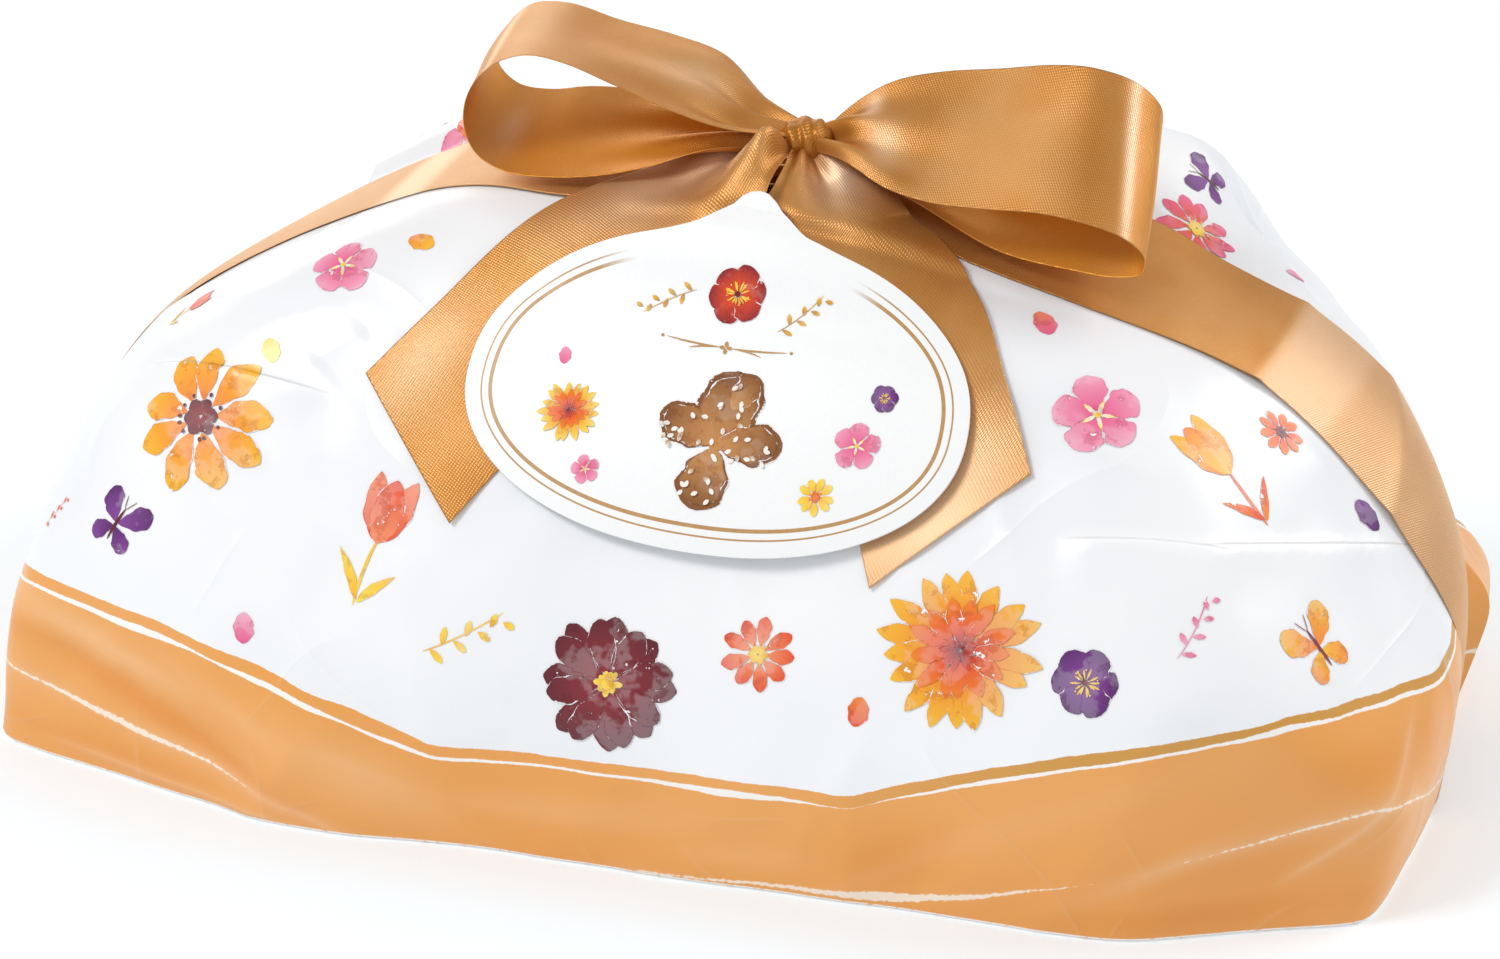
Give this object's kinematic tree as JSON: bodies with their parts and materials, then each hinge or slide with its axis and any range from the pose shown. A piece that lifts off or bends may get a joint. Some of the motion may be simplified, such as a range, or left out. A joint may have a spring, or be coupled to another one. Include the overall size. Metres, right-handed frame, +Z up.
{
  "type": "gift-wrapped colomba easter bread pack",
  "caption": "Shut pack of festive loaf in printed film, domed on a flat foot, with a satin ribbon tied lengthwise in a bow and an oval card label on its front.",
  "frame": {"origin": "on the floor below the middle of the pack's box", "axes": "+Z up, +X along the pack's length to its right, -Y out of the front that carries the label"},
  "size_m": [0.3682, 0.2104, 0.1726],
  "materials": {
    "film": "gloss film, white with printed flowers above an orange band",
    "ribbon": "satin, tan gold",
    "card": "smooth white card with a double gold line"
  },
  "bodies": {
    "root": {"wrapper": "film", "ribbon_band": "ribbon", "bow": "ribbon", "label": "card"}
  },
  "joints": []
}
